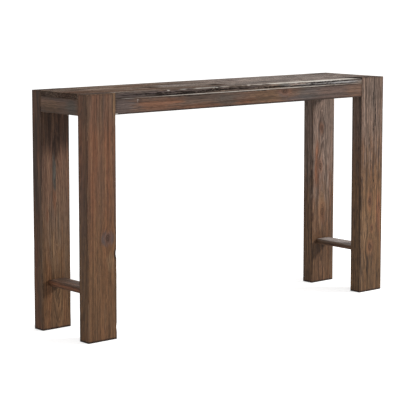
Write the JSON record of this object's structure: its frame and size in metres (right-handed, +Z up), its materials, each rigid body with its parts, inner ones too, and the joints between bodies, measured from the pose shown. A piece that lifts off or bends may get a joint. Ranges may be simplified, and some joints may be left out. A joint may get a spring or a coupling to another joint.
{
  "type": "console table",
  "caption": "Tall narrow console table in rustic dark-stained solid wood: flat post legs flush through the top's corners, shallow aprons and a low stretcher at each end.",
  "frame": {"origin": "on the floor, under the middle of the top", "axes": "+X along the table, +Y to the back, +Z up; the front faces -Y"},
  "size_m": [1.565, 0.342, 0.914],
  "materials": {
    "top_wood": "dark brown stain on brushed solid wood, worn lighter and greyer on top, matt",
    "frame_wood": "dark brown stain on brushed solid wood with reddish and grey streaks, matt",
    "inner_wood": "planed solid wood with a thin coat of the same stain",
    "dowel_wood": "bare beech",
    "hardware_steel": "zinc-plated steel",
    "glide_plastic": "dark moulded plastic"
  },
  "bodies": {
    "root": {"apron_back": "frame_wood", "apron_front": "frame_wood", "batten_screws": "hardware_steel", "block_screws": "hardware_steel", "bolt_nuts": "hardware_steel", "bolt_washers": "hardware_steel", "cleat_rail_screws": "hardware_steel", "cleat_top_screws": "hardware_steel", "corner_block_back_left": "inner_wood", "corner_block_back_right": "inner_wood", "corner_block_front_left": "inner_wood", "corner_block_front_right": "inner_wood", "cross_batten_left": "inner_wood", "cross_batten_middle": "inner_wood", "cross_batten_right": "inner_wood", "edge_dowels": "dowel_wood", "end_cleat_left": "inner_wood", "end_cleat_right": "inner_wood", "end_rail_left": "frame_wood", "end_rail_right": "frame_wood", "floor_glides": "glide_plastic", "hanger_bolts": "hardware_steel", "leg_back_left": "frame_wood", "leg_back_right": "frame_wood", "leg_front_left": "frame_wood", "leg_front_right": "frame_wood", "stretcher_left": "frame_wood", "stretcher_right": "frame_wood", "top_board_back": "top_wood", "top_board_centre_1": "top_wood", "top_board_centre_2": "top_wood", "top_board_front": "top_wood"}
  },
  "joints": []
}
